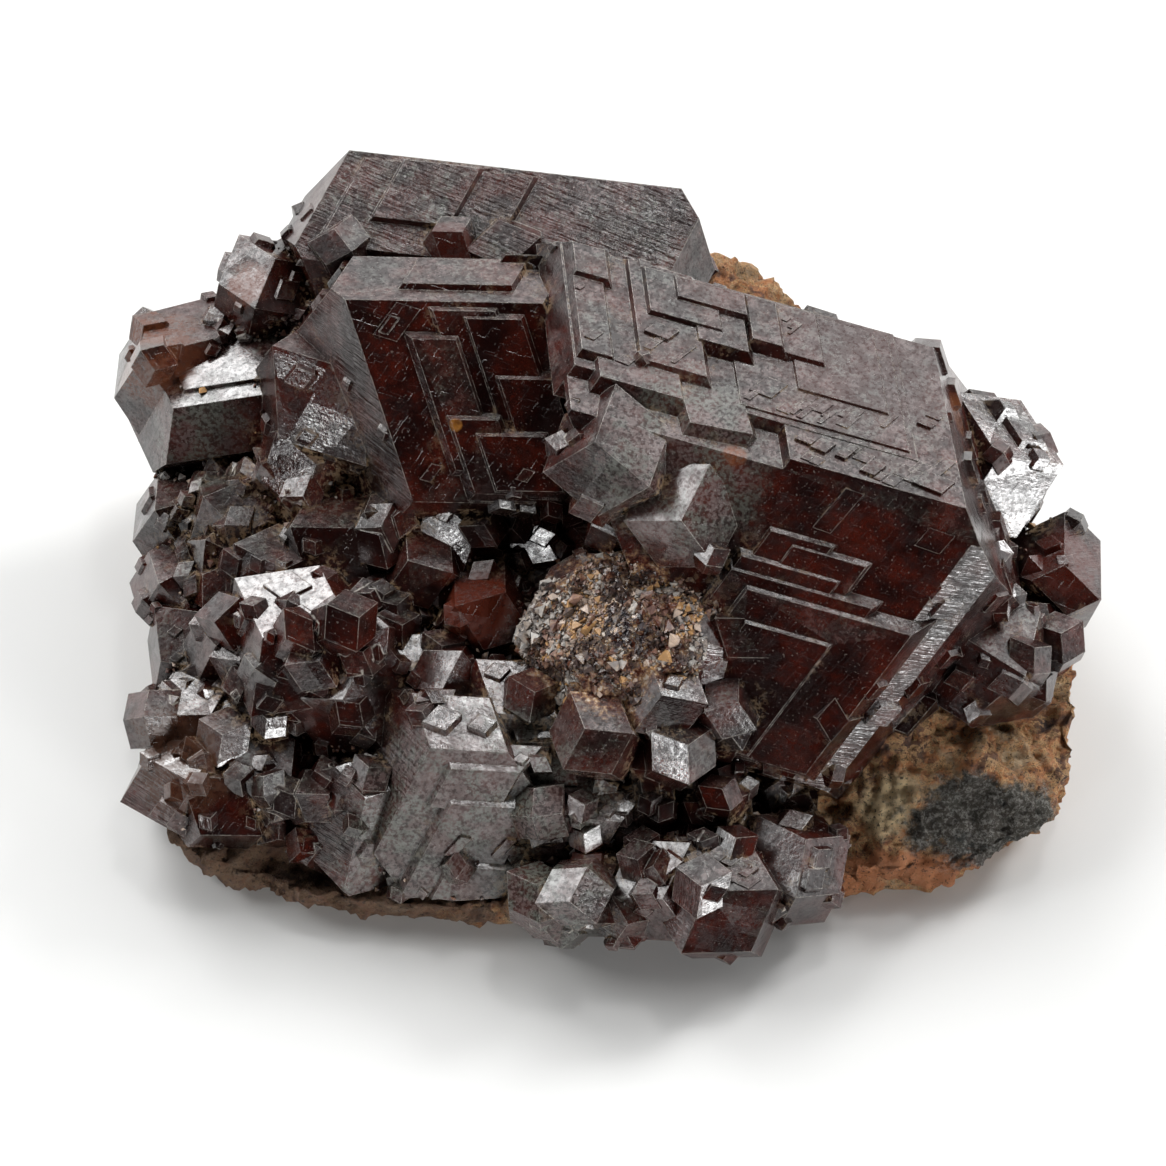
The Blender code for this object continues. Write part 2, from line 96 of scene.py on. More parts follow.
# Colours of the garnet: body, gray film that is partly painted sheen, specks, painted edge highlights,
# painted shade between crystals and dust
GARNET_DARK = (0.010, 0.0030, 0.0026, 1.0)
GARNET_RED = (0.060, 0.0090, 0.0050, 1.0)
FILM_SHEEN_OLIVE = (0.112, 0.116, 0.098, 1.0)
FILM_SHEEN_MAUVE = (0.120, 0.080, 0.074, 1.0)
SPECK_GRAY = (0.22, 0.20, 0.18, 1.0)
EDGE_HIGHLIGHT_PALE = (0.46, 0.43, 0.38, 1.0)
PAINTED_SHADE_BLACK = (0.004, 0.002, 0.002, 1.0)
DUST_BROWN = (0.26, 0.12, 0.040, 1.0)
DUST_TAN = (0.56, 0.45, 0.30, 1.0)
GARNET_ROUGHNESS = 0.085
DUST_SHARE = 0.85

# The knobbly mass in the middle
DRUSE_CENTRE = (3.6, -4.2, 12.2)
DRUSE_REACH = (7.2, 5.7, 5.7)

# Places with tan dust: middle, reach and strength
DUST_SPOTS = [
    ((-20.7, 4.6, 13.2), 4.0, 0.75),
    ((-24.0, 5.0, 10.7), 2.0, 0.6),
    ((-23.4, 2.0, 11.0), 1.6, 0.7),
    ((-14.3, 6.8, 17.2), 3.6, 1.0),
    ((-4.9, -17.3, 2.9), 2.6, 0.9),
    ((4.4, 2.0, 24.9), 1.2, 1.0),
    ((14.0, -12.0, 9.0), 3.0, 0.9),
    ((1.0, 10.4, 24.0), 2.0, 0.5),
]

# Places where a gray film, partly painted sheen, lies on all faces: middle, reach and strength
FILM_AND_SHEEN_SPOTS = [
    ((-5.5, -15.0, 6.0), 9.0, 0.85),
    ((5.5, 1.0, 22.5), 5.5, 0.70),
    ((-24.5, 9.0, 15.0), 4.5, 0.70),
]

# Places where the garnet is orange or brown: middle, reach, colour and strength
WARM_SPOTS = [
    ((-26.4, 14.8, 15.0), 3.2, (0.115, 0.034, 0.014, 1.0), 0.85),
    ((-6.2, -2.7, 13.9), 2.6, (0.090, 0.017, 0.008, 1.0), 0.95),
    ((-7.5, 5.1, 20.9), 0.4, (0.34, 0.14, 0.025, 1.0), 0.8),
    ((8.7, 0.3, 24.4), 0.8, (0.17, 0.050, 0.018, 1.0), 0.8),
    ((22.1, 6.5, 20.1), 1.4, (0.15, 0.055, 0.022, 1.0), 0.7),
    ((0.4, -15.8, 6.5), 1.3, (0.075, 0.018, 0.012, 1.0), 0.9),
    ((29.3, 1.6, 12.2), 2.6, (0.070, 0.014, 0.009, 1.0), 0.85),
    ((-20.6, 17.1, 19.3), 1.5, (0.12, 0.035, 0.018, 1.0), 0.9),
    ((-24.2, -10.0, 8.0), 3.6, (0.085, 0.036, 0.020, 1.0), 0.7),
    ((-8.0, 17.2, 23.3), 1.6, (0.060, 0.012, 0.008, 1.0), 0.8),
    ((-20.0, 1.0, 12.5), 1.6, (0.095, 0.026, 0.012, 1.0), 0.8),
    ((17.0, 7.0, 23.8), 5.5, (0.045, 0.015, 0.012, 1.0), 0.60),
    ((8.0, 13.0, 24.5), 3.0, (0.050, 0.018, 0.013, 1.0), 0.45),
]

# Crystal faces with growth lines on them: the crystal's turn in degrees and the face
LINED_FACES = [
    ((79, -42, -42), (2, 1, -1)),
    ((79, -42, -42), (2, -1, 1)),
    ((76, -31, 46), (-1, 1, 0)),
    ((93, -36, -38), (0, 1, 1)),
    ((93, -36, -13), (0, 1, 1)),
    ((-162, 36, 40), (-1, 0, -1)),
]

# Crystal faces covered with thin plates, faces with nested ones and faces with only a few
TERRACED_FACES = [
    ((79, -42, -42), (1, 1, 0)),
    ((75, -28, -18), (1, 1, 0)),
]
NESTED_FACES = [
    ((76, -31, 46), (0, 1, 1)),
    ((93, -36, -38), (1, 0, 1)),
]
LEDGED_FACES = [
    ((79, -42, -42), (1, 0, 1)),
    ((76, -31, 46), (1, 1, 0)),
    ((93, -36, -38), (0, 1, 1)),
    ((-162, 36, 40), (-1, 0, -1)),
]

# Parts of the crystals that stay smooth: middle and reach
SMOOTH_PLACES = [
    ((5.5, 1.5, 22.5), 5.5),
    ((17.5, 8.0, 23.5), 4.6),
    ((-24.0, 10.0, 15.0), 4.0),
    ((3.5, 20.5, 20.5), 5.0),
    ((-8.0, 20.5, 21.5), 7.0),
]

# Places where crystals of a middling size crowd together, and about how they are turned
CROWDED_PLACES = [
    ((-17.0, -6.0, 9.0), 9.5),
    ((-20.0, 3.0, 11.0), 5.0),
    ((-9.0, 0.5, 14.0), 4.0),
    ((3.0, -15.0, 7.0), 7.5),
    ((13.0, -13.0, 7.0), 4.0),
    ((24.0, -2.0, 12.0), 5.0),
    ((-4.0, 1.5, 12.5), 3.5),
]
CROWD_TURN = (78, -36, 20)

# Gray crystals round the middle: place, size and turn
RIM_CRYSTALS = [
    ((5.6, -2.2, 16.6), 1.9, (79, -42, -38)),
    ((9.1, -5.6, 14.9), 2.0, (76, -31, 46)),
    ((0.8, -10.9, 12.0), 2.3, (79, -42, -30)),
    ((5.6, -11.6, 11.4), 1.9, (76, -36, 20)),
    ((8.2, -9.6, 12.6), 1.7, (79, -42, 60)),
    ((-3.2, -8.2, 12.0), 1.5, (76, -31, 10)),
]

# Grains on the middle: where they lie in x and y, and their colours by tint; the crumbs between
# them and the rock are coloured by a noise instead
GRAINS_CENTRE = (1.6, -5.6)
GRAINS_REACH = (5.8, 4.3)
GRAIN_COLOURS = (
    (0.00, (0.008, 0.014, 0.024, 1.0)),
    (0.08, (0.018, 0.008, 0.007, 1.0)),
    (0.30, (0.11, 0.032, 0.017, 1.0)),
    (0.48, (0.24, 0.12, 0.085, 1.0)),
    (0.62, (0.66, 0.52, 0.42, 1.0)),
    (0.74, (0.60, 0.33, 0.12, 1.0)),
    (0.84, (0.32, 0.30, 0.28, 1.0)),
    (0.93, (0.62, 0.60, 0.56, 1.0)),
)
CRUMB_COLOURS = (
    (0.36, (0.010, 0.005, 0.004, 1.0)),
    (0.45, (0.10, 0.030, 0.016, 1.0)),
    (0.51, (0.22, 0.13, 0.10, 1.0)),
    (0.57, (0.50, 0.27, 0.10, 1.0)),
    (0.64, (0.74, 0.63, 0.52, 1.0)),
)
ROCK_COLOURS = (
    (0.36, (0.070, 0.042, 0.040, 1.0)),
    (0.43, (0.18, 0.070, 0.038, 1.0)),
    (0.50, (0.60, 0.23, 0.075, 1.0)),
    (0.56, (0.50, 0.31, 0.17, 1.0)),
    (0.64, (0.78, 0.60, 0.38, 1.0)),
)
# Near-black painted shade where the grains crowd together
GRAIN_PAINTED_SHADE = (0.010, 0.005, 0.004, 1.0)
CRUMB_SPOT = ((1.6, -5.6, 15.0), 4.9, 0.85)

# Patches on the rock: middle, reach, inner and outer rim, strength and colour
ROCK_PATCHES = (
    ((-20.0, -12.0, 3.0), (22.0, 12.0, 12.0), 0.7, 1.1, 0.80, (0.16, 0.095, 0.065, 1.0)),
    ((17.6, -9.6, 10.8), (4.2, 3.0, 2.6), 0.7, 1.1, 0.80, (0.95, 0.40, 0.15, 1.0)),
    ((19.2, -15.3, 2.6), (8.0, 2.0, 2.4), 0.7, 1.1, 0.85, (0.62, 0.23, 0.095, 1.0)),
    ((18.0, -11.8, 6.2), (2.3, 2.3, 2.6), 0.6, 1.1, 0.95, (0.98, 0.74, 0.42, 1.0)),
)
BLACK_PATCH = ((24.0, -12.4, 5.0), (5.4, 2.9, 3.2), 0.75, 1.10)
BLACK_SOOT = (0.026, 0.031, 0.027, 1.0)
BLACK_GLINTS = (0.27, 0.27, 0.25, 1.0)
ROCK_GRAINS = (0.52, 0.28, 0.14, 1.0)
ROCK_SPECKS = (0.030, 0.018, 0.014, 1.0)
RIFT_RIM = (0.80, 0.48, 0.22, 1.0)
RIFT_DARK = (0.030, 0.016, 0.012, 1.0)

# Relief of the rock, its mean inset, its mesh and the band above the flat cut where it fades out
LEDGE_RELIEF, LEDGE_LEVELS = 0.9, 7.0
LUMP_RELIEF, GRAIN_RELIEF, PIT_RELIEF = 0.50, 0.32, 0.6
ROCK_INSET = 0.20
ROCK_VOXEL = 0.32
FLAT_CUT_BAND = 0.4

# Spots on the middle where grains share a colour: middle, reach, least and greatest tint
GRAIN_SPOTS = (
    ((2.4, -6.9, 17.1), 1.3, 0.0, 0.08),
    ((4.2, -6.0, 17.8), 1.2, 0.30, 0.54),
    ((0.1, -5.5, 16.4), 1.5, 0.60, 0.88),
    ((6.1, -5.6, 17.5), 1.0, 0.70, 0.88),
    ((5.0, -9.1, 15.2), 1.2, 0.70, 0.88),
    ((-2.5, -2.8, 15.2), 2.6, 0.84, 1.0),
    ((-3.2, -3.8, 14.0), 2.0, 0.84, 1.0),
    ((7.4, -7.6, 16.0), 1.4, 0.84, 1.0),
)

# Finding the flat faces of the grown body: cosine and offset within one face, the least area of
# a crystal's face, and the cosine between faces that share an edge of a crystal
SAME_PLANE = 0.9995
SAME_LEVEL = 0.012
CRYSTAL_FACE_AREA = 0.9
NEIGHBOUR_DOT = 0.5
SAME_DIRECTION = 0.995

# Layers of growth plates: mean width, least noise under a plate, and rise
TERRACED_LAYERS = ((1.5, -0.02, 0.12), (1.1, 0.08, 0.21), (0.6, 0.24, 0.08))
NESTED_LAYERS = ((1.7, 0.10, 0.12), (1.2, 0.20, 0.22))
LEDGED_LAYERS = ((2.4, 0.36, 0.07),)

# The box of the solids, which no crystal may leave
BOX_LOW, BOX_HIGH = [[side / MM for side in corner] for corner in CAD_BOX]


def new_object(name, data):
    """A new object, linked to the scene."""
    made = bpy.data.objects.new(name, data)
    bpy.context.scene.collection.objects.link(made)
    return made


def shader_nodes(name):
    """A new material with its node tree and its Principled shader."""
    material = bpy.data.materials.new(name)
    material.use_nodes = True
    tree = material.node_tree
    return material, tree, tree.nodes["Principled BSDF"]


class Graph:
    """Short calls that add nodes to a material's tree and return their output sockets."""

    def __init__(self, tree):
        self.tree = tree

    def node(self, kind, **inputs):
        """A node; keyword names are input names, or i_0, i_1 and so on for input numbers."""
        made = self.tree.nodes.new(kind)
        for key, value in inputs.items():
            self.feed(made, key, value)
        return made

    def feed(self, made, key, value):
        """Set or link one input of a node."""
        socket = made.inputs[int(key[2:])] if key.startswith("i_") else made.inputs[key]
        if isinstance(value, bpy.types.NodeSocket):
            self.tree.links.new(value, socket)
        else:
            socket.default_value = value

    def math(self, operation, first, second=0.0, clamp=False):
        """One operation on one or two numbers."""
        made = self.node("ShaderNodeMath", i_0=first, i_1=second)
        made.operation = operation
        made.use_clamp = clamp
        return made.outputs[0]

    def times(self, first, second):
        """The product of two numbers."""
        return self.math("MULTIPLY", first, second)

    def plus(self, first, second, clamp=False):
        """The sum of two numbers."""
        return self.math("ADD", first, second, clamp)

    def vector_math(self, operation, first, second=(0.0, 0.0, 0.0)):
        """One operation on two vectors."""
        made = self.node("ShaderNodeVectorMath", i_0=first, i_1=second)
        made.operation = operation
        return made.outputs["Value" if operation in ("DOT_PRODUCT", "LENGTH", "DISTANCE") else "Vector"]

    def scaled(self, vector, factor):
        """A vector times a number."""
        made = self.node("ShaderNodeVectorMath", i_0=vector)
        made.operation = "SCALE"
        self.feed(made, "Scale", factor)
        return made.outputs["Vector"]

    def attribute(self, name, output="Fac"):
        """An attribute of the mesh."""
        made = self.tree.nodes.new("ShaderNodeAttribute")
        made.attribute_name = name
        return made.outputs[output]

    def place(self):
        """Position on the object in millimetres."""
        made = self.tree.nodes.new("ShaderNodeTexCoord")
        return self.scaled(made.outputs["Object"], 1.0 / MM)

    def noise(self, vector, scale, detail=4.0, rough=0.55):
        """Fractal noise around one half."""
        made = self.node("ShaderNodeTexNoise", Vector=vector, Scale=scale, Detail=detail, Roughness=rough)
        return made.outputs["Fac"]

    def cells(self, coordinate):
        """Random numbers along one coordinate, constant over stretches of uneven length."""
        made = self.tree.nodes.new("ShaderNodeTexVoronoi")
        made.voronoi_dimensions = "1D"
        self.feed(made, "W", coordinate)
        self.feed(made, "Scale", 1.0)
        return made.outputs["Color"]

    def part(self, colour, name):
        """The red, green or blue part of a colour."""
        made = self.node("ShaderNodeSeparateColor", Color=colour)
        return made.outputs[name]

    def ramp(self, value, low, high, start=0.0, end=1.0):
        """The value's place between low and high, smoothed, as a number from start to end."""
        made = self.tree.nodes.new("ShaderNodeMapRange")
        made.interpolation_type = "SMOOTHSTEP"
        limits = (("From Min", low), ("From Max", high), ("To Min", start), ("To Max", end))
        for key, item in (("Value", value),) + limits:
            self.feed(made, key, item)
        return made.outputs["Result"]

    def mix(self, share, first, second):
        """A mix of two colours."""
        made = self.tree.nodes.new("ShaderNodeMix")
        made.data_type = "RGBA"
        self.feed(made, "i_0", share)
        self.feed(made, "i_6", first)
        self.feed(made, "i_7", second)
        return made.outputs[2]

    def bump(self, height, strength, distance, normal=None):
        """A direction bent by a height, with the bump's depth in millimetres."""
        made = self.node("ShaderNodeBump", Height=height, Strength=strength, Distance=distance * MM)
        if normal is not None:
            self.feed(made, "Normal", normal)
        return made.outputs["Normal"]


def brick_pattern(graph, along_a, along_b, size, seed):
    """Random numbers per parallelogram of a face: stretches across one way, shifted per stretch."""
    strip = graph.cells(graph.plus(graph.math("DIVIDE", along_a, size), seed))
    shift = graph.times(graph.part(strip, "Red"), 41.0)
    return graph.cells(graph.plus(graph.math("DIVIDE", along_b, size * 1.3), shift))


def stretched_noise(graph, along_a, along_b, across, along, seed):
    """Noise drawn out along one way of a face: fine lines parallel to its edges."""
    place = graph.node(
        "ShaderNodeCombineXYZ",
        X=graph.times(along_a, across),
        Y=graph.times(along_b, along),
        Z=seed,
    ).outputs[0]
    return graph.noise(place, 1.0, 3.0, 0.6)


def stops(graph, value, colours, mode="LINEAR"):
    """A colour from a value by a table of positions and colours."""
    ramp = graph.tree.nodes.new("ShaderNodeValToRGB")
    graph.feed(ramp, "Fac", value)
    ramp.color_ramp.interpolation = mode
    while len(ramp.color_ramp.elements) < len(colours):
        ramp.color_ramp.elements.new(1.0)
    for element, (position, colour) in zip(ramp.color_ramp.elements, colours):
        element.position = position
        element.color = colour
    return ramp.outputs["Color"]


def crumb_colour(graph, place):
    """Fine crumbs of many colours: dark brown, rust, gray, gold and cream."""
    return stops(graph, graph.noise(place, 2.3, 4.0, 0.72), CRUMB_COLOURS)


def spot(graph, place, at, reach, ragged):
    """A mask around a place on the object, one inside and nothing outside, with a ragged rim."""
    away = graph.vector_math("DISTANCE", place, at)
    away = graph.plus(graph.math("DIVIDE", away, reach), ragged)
    return graph.ramp(away, 0.7, 1.15, 1.0, 0.0)


def garnet_material():
    """Nearly opaque garnet: dark red body, glassy to satin faces, lines parallel to the edges."""
    material, tree, shader = shader_nodes("garnet_dark")
    graph = Graph(tree)
    place = graph.place()
    tint = graph.attribute("tint")
    lined = graph.attribute("lined")
    seed = graph.times(tint, 97.0)
    along_a = graph.vector_math("DOT_PRODUCT", place, graph.attribute("lines_a", "Vector"))
    along_b = graph.vector_math("DOT_PRODUCT", place, graph.attribute("lines_b", "Vector"))
    wobble = graph.times(graph.math("SUBTRACT", graph.noise(place, 1.1, 3.0), 0.5), 0.22)
    along_a = graph.plus(along_a, wobble)
    along_b = graph.plus(along_b, wobble)

    coarse = brick_pattern(graph, along_a, along_b, 1.7, seed)
    fine = brick_pattern(graph, along_b, along_a, 0.42, graph.plus(seed, 13.0))
    lines = stretched_noise(graph, along_a, along_b, 5.5, 0.22, seed)
    grain = graph.noise(place, 4.2, 3.0, 0.62)
    mottle = graph.noise(place, 1.5, 4.0, 0.70)
    hidden = graph.node("ShaderNodeAmbientOcclusion", Distance=1.8 * MM)
    hidden.samples = 3
    opening = hidden.outputs["AO"]

    # Each thin plate lies at a slightly different angle, so it mirrors another part of the room
    rounded = graph.node("ShaderNodeBevel", Radius=0.08 * MM)
    rounded.samples = 2
    soft_normal = rounded.outputs["Normal"]
    lean = graph.scaled(graph.vector_math("SUBTRACT", coarse, (0.5, 0.5, 0.5)), 0.07)
    leaning = graph.vector_math("NORMALIZE", graph.vector_math("ADD", soft_normal, lean))
    height = graph.times(graph.part(coarse, "Green"), 0.7)
    height = graph.plus(height, graph.times(graph.part(fine, "Green"), 0.30))
    normal = graph.bump(height, 0.8, 0.035, leaning)
    striae = graph.times(lines, graph.plus(graph.times(lined, 0.9), 0.06))
    normal = graph.bump(striae, 1.0, 0.10, normal)
    normal = graph.bump(grain, 0.5, 0.025, normal)
    tree.links.new(normal, shader.inputs["Normal"])

    # Edges get a pale painted highlight; the mask is where the rounded direction leaves the flat one
    geometry = tree.nodes.new("ShaderNodeNewGeometry")
    turn = graph.vector_math("DOT_PRODUCT", soft_normal, geometry.outputs["True Normal"])
    edge = graph.ramp(graph.math("SUBTRACT", 1.0, turn), 0.002, 0.020)
    broken = graph.ramp(graph.noise(place, 1.7, 3.0, 0.7), 0.42, 0.56, 0.15, 1.0)
    edge = graph.times(edge, broken)
    edge = graph.times(edge, graph.ramp(opening, 0.35, 0.65))

    patches = graph.ramp(graph.noise(place, 0.28, 4.0, 0.6), 0.38, 0.64)
    body = graph.mix(patches, GARNET_DARK, GARNET_RED)
    darker = graph.ramp(mottle, 0.42, 0.62)
    body = graph.mix(graph.times(darker, 0.6), body, GARNET_DARK)

    # A gray film lies on the faces that look up, on the front crystal and on some others: partly an etched
    # skin, partly a painted sheen where these faces mirror the bright dome
    up = graph.node("ShaderNodeSeparateXYZ", Vector=geometry.outputs["True Normal"]).outputs["Z"]
    ragged = graph.times(graph.math("SUBTRACT", graph.noise(place, 0.6, 5.0, 0.7), 0.5), 1.2)
    film_and_sheen = graph.times(graph.ramp(up, 0.80, 0.97), 0.72)
    film_and_sheen = graph.math("MAXIMUM", film_and_sheen, graph.times(graph.ramp(tint, 0.74, 0.80), 0.40))
    speckle = graph.ramp(grain, 0.40, 0.58, 0.20, 1.0)
    blotch = graph.ramp(mottle, 0.40, 0.56, 1.0, 0.22)
    broad_blotch = graph.ramp(graph.noise(place, 0.22, 4.0, 0.6), 0.38, 0.60, 0.45, 1.0)
    uneven = graph.times(speckle, graph.times(blotch, broad_blotch))
    film_and_sheen = graph.times(film_and_sheen, uneven)
    for at, reach, strength in FILM_AND_SHEEN_SPOTS:
        here = graph.times(spot(graph, place, at, reach, ragged), speckle)
        film_and_sheen = graph.math("MAXIMUM", film_and_sheen, graph.times(here, strength))
    mauve = graph.ramp(graph.noise(place, 0.45, 4.0, 0.70), 0.44, 0.56)
    body = graph.mix(film_and_sheen, body, graph.mix(mauve, FILM_SHEEN_OLIVE, FILM_SHEEN_MAUVE))
    specks = graph.ramp(graph.noise(place, 6.5, 1.0, 0.6), 0.68, 0.74, 0.0, 0.45)
    body = graph.mix(specks, body, SPECK_GRAY)
    # Painted highlight along the edges, only where they stand open
    body = graph.mix(graph.times(edge, 0.9), body, EDGE_HIGHLIGHT_PALE)
    # Painted shade: the body goes near black where the ambient occlusion finds the depths between crystals
    shade = graph.ramp(opening, 0.20, 0.72, 0.95, 0.0)
    body = graph.mix(shade, body, PAINTED_SHADE_BLACK)

    # Tan dust and iron stain lie in the corners between crystals
    corner = graph.ramp(opening, 0.42, 0.80, 1.0, 0.0)
    shifted = graph.vector_math("ADD", place, (31.0, 7.0, 3.0))
    dusty = graph.ramp(graph.noise(shifted, 0.45, 3.0, 0.65), 0.51, 0.62)
    dusty = graph.times(dusty, DUST_SHARE)
    for at, reach, strength in DUST_SPOTS:
        here = graph.times(spot(graph, place, at, reach, ragged), strength)
        dusty = graph.math("MAXIMUM", dusty, here)
    flecks = graph.ramp(graph.noise(shifted, 2.4, 3.0, 0.75), 0.46, 0.56)
    dusty = graph.times(graph.times(dusty, corner), flecks)
    stain = graph.mix(graph.noise(place, 2.5, 2.0), DUST_BROWN, DUST_TAN)
    body = graph.mix(dusty, body, stain)

    # The knobbly middle carries crumbs of many colours
    at, reach, strength = CRUMB_SPOT
    crumbs = graph.times(spot(graph, place, at, reach, ragged), strength)
    body = graph.mix(crumbs, body, crumb_colour(graph, place))

    # Thin or stained places where the garnet shows orange and brown
    for at, reach, colour, strength in WARM_SPOTS:
        here = graph.times(spot(graph, place, at, reach, ragged), strength)
        here = graph.times(here, graph.ramp(mottle, 0.34, 0.56, 0.35, 1.0))
        body = graph.mix(here, body, colour)
    tree.links.new(body, shader.inputs["Base Color"])

    satin = graph.plus(GARNET_ROUGHNESS, graph.times(graph.part(coarse, "Red"), 0.10))
    satin = graph.plus(satin, graph.times(graph.ramp(mottle, 0.35, 0.65), 0.10))
    satin = graph.plus(satin, graph.times(film_and_sheen, 0.10))
    satin = graph.plus(satin, graph.times(dusty, 0.5), clamp=True)
    tree.links.new(satin, shader.inputs["Roughness"])

    # Pits in the faces mirror little, and in the depths between the crystals the reflection is dimmed as
    # painted shade
    pitted = graph.ramp(grain, 0.38, 0.50, 0.55, 1.0)
    gloss_with_painted_shade = graph.times(graph.ramp(opening, 0.30, 0.72, 0.03, 0.55), pitted)
    blotch_gloss = graph.ramp(mottle, 0.38, 0.60, 1.15, 0.75)
    tree.links.new(graph.times(gloss_with_painted_shade, blotch_gloss), shader.inputs["Specular IOR Level"])
    shader.inputs["IOR"].default_value = 1.80
    return material


def vectors_of(mesh):
    """The corners of a mesh's vertices in millimetres, as an array."""
    places = np.empty(len(mesh.vertices) * 3)
    mesh.vertices.foreach_get("co", places)
    return places.reshape(-1, 3) / MM


class Face:
    """One flat face of the grown body: its triangles, their numbers, its direction, area and edges."""

    def __init__(self, members, triangles, normal, area, ways):
        self.members = members
        self.triangles = triangles
        self.normal = normal
        self.area = area
        self.ways = ways


def unit(vector):
    """The vector at length one."""
    return vector / max(np.linalg.norm(vector), 1e-12)


def face_direction(turn, face):
    """The direction of a crystal face after the crystal's turn."""
    angles = [math.radians(angle) for angle in turn]
    return np.array(Euler(angles, "XYZ").to_matrix() @ Vector(face).normalized())


LINED_DIRECTIONS = [face_direction(turn, face) for turn, face in LINED_FACES]
TERRACED_DIRECTIONS = [face_direction(turn, face) for turn, face in TERRACED_FACES]
NESTED_DIRECTIONS = [face_direction(turn, face) for turn, face in NESTED_FACES]
LEDGED_DIRECTIONS = [face_direction(turn, face) for turn, face in LEDGED_FACES]


def faces_any(normal, directions):
    """Whether a face looks in one of these directions."""
    return any(normal @ direction > SAME_DIRECTION for direction in directions)


def lined_share(normal):
    """One for a face that carries growth lines, and nothing for the others."""
    return float(faces_any(normal, LINED_DIRECTIONS))


def edge_ways(normal, weighted):
    """The two directions in a face along which most of its edge length runs."""
    def strongest(pairs, away_from=None):
        best = None
        best_weight = 0.0
        for candidate, _ in pairs:
            if away_from is not None and abs(candidate @ away_from) > 0.85:
                continue
            weight = sum(length for way, length in pairs if abs(way @ candidate) > 0.995)
            if weight > best_weight:
                best = candidate
                best_weight = weight
        return best
    first = strongest(weighted)
    if first is None:
        first = unit(np.cross(normal, (0.3, 0.5, 0.8)))
    second = strongest(weighted, first)
    if second is None:
        turn = Matrix.Rotation(math.radians(70.5), 3, Vector(normal))
        second = np.array(turn @ Vector(first))
    return first, second


def find_faces(mesh):
    """Group the triangles of a mesh into flat faces."""
    places = vectors_of(mesh)
    corners = np.array([polygon.vertices[:] for polygon in mesh.polygons])
    sides = places[corners]
    crosses = np.cross(sides[:, 1] - sides[:, 0], sides[:, 2] - sides[:, 0])
    sizes = np.linalg.norm(crosses, axis=1)
    normals = crosses / np.maximum(sizes, 1e-12)[:, None]
    middles = sides.mean(axis=1)
    by_edge = {}
    for index, triangle in enumerate(corners):
        for start in range(3):
            key = tuple(sorted((triangle[start], triangle[(start + 1) % 3])))
            by_edge.setdefault(key, []).append(index)
    owner = [-1] * len(corners)
    groups = []
    order = sorted(range(len(corners)), key=lambda index: -sizes[index])
    neighbours = [[] for _ in corners]
    for pair in by_edge.values():
        if len(pair) == 2:
            neighbours[pair[0]].append(pair[1])
            neighbours[pair[1]].append(pair[0])
    for seed in order:
        if owner[seed] >= 0:
            continue
        group = [seed]
        owner[seed] = len(groups)
        for member in group:
            for other in neighbours[member]:
                if owner[other] >= 0:
                    continue
                if sizes[other] > 1e-4 and normals[other] @ normals[seed] < SAME_PLANE:
                    continue
                if abs((middles[other] - middles[seed]) @ normals[seed]) > SAME_LEVEL:
                    continue
                owner[other] = len(groups)
                group.append(other)
        groups.append(group)
    weighted = [[] for _ in groups]
    loose = [[] for _ in groups]
    for key, pair in by_edge.items():
        if len(pair) != 2 or owner[pair[0]] == owner[pair[1]]:
            continue
        along = places[key[1]] - places[key[0]]
        length = np.linalg.norm(along)
        if length < 0.05:
            continue
        for index, other in (pair, pair[::-1]):
            normal = normals[groups[owner[index]][0]]
            crystalline = abs(abs(normal @ normals[groups[owner[other]][0]]) - NEIGHBOUR_DOT) < 0.02
            target = weighted if crystalline else loose
            target[owner[index]].append((along / length, length))
    faces = []
    for number, group in enumerate(groups):
        normal = normals[group[0]]
        area = 0.5 * sizes[group].sum()
        choice = weighted[number] or loose[number]
        faces.append(Face(group, sides[group], normal, area, edge_ways(normal, choice)))
    return faces


class Shells:
    """Collects many small closed shells, with the attributes of their faces, into one mesh."""

    def __init__(self):
        self.places = []
        self.polygons = []
        self.tints = []
        self.lines_a = []
        self.lines_b = []
        self.lined = []

    def add(self, places, polygons, tint, ways=None):
        """One closed shell; every polygon gets growth lines parallel to its own edges."""
        base = len(self.places)
        self.places.extend(places)
        for polygon in polygons:
            self.polygons.append([base + index for index in polygon])
            first = unit(places[polygon[1]] - places[polygon[0]])
            second = unit(places[polygon[2]] - places[polygon[1]])
            normal = unit(np.cross(first, second))
            self.lines_a.append(np.cross(normal, first))
            self.lines_b.append(np.cross(normal, second))
            self.tints.append(tint)
            self.lined.append(lined_share(normal))

    def build(self, name, material):
        """The mesh object of all shells."""
        mesh = bpy.data.meshes.new(name)
        mesh.from_pydata([tuple(np.asarray(place) * MM) for place in self.places], [], self.polygons)
        put_attributes(mesh, self.tints, self.lined, self.lines_a, self.lines_b)
        mesh.materials.append(material)
        mesh.validate()
        return new_object(name, mesh)


def put_attributes(mesh, tints, lined, lines_a, lines_b):
    """Per-face tint and share of lines, and per-corner directions across the two sets of lines."""
    for name, shares in (("tint", tints), ("lined", lined)):
        layer = mesh.attributes.new(name, "FLOAT", "FACE")
        layer.data.foreach_set("value", np.array(shares, dtype=np.float32))
    counts = [len(polygon.vertices) for polygon in mesh.polygons]
    for name, lines in (("lines_a", lines_a), ("lines_b", lines_b)):
        layer = mesh.attributes.new(name, "FLOAT_VECTOR", "CORNER")
        values = np.repeat(np.array(lines, dtype=np.float32), counts, axis=0)
        layer.data.foreach_set("vector", values.ravel())


def inside_face(tree, face, point):
    """Whether a point of the face's plane lies on the grown body's surface there, facing the same way."""
    hit, normal, _, _ = tree.ray_cast(Vector(point + face.normal * 0.05), Vector(-face.normal), 0.1)
    return hit is not None and normal.dot(Vector(face.normal)) > 0.99


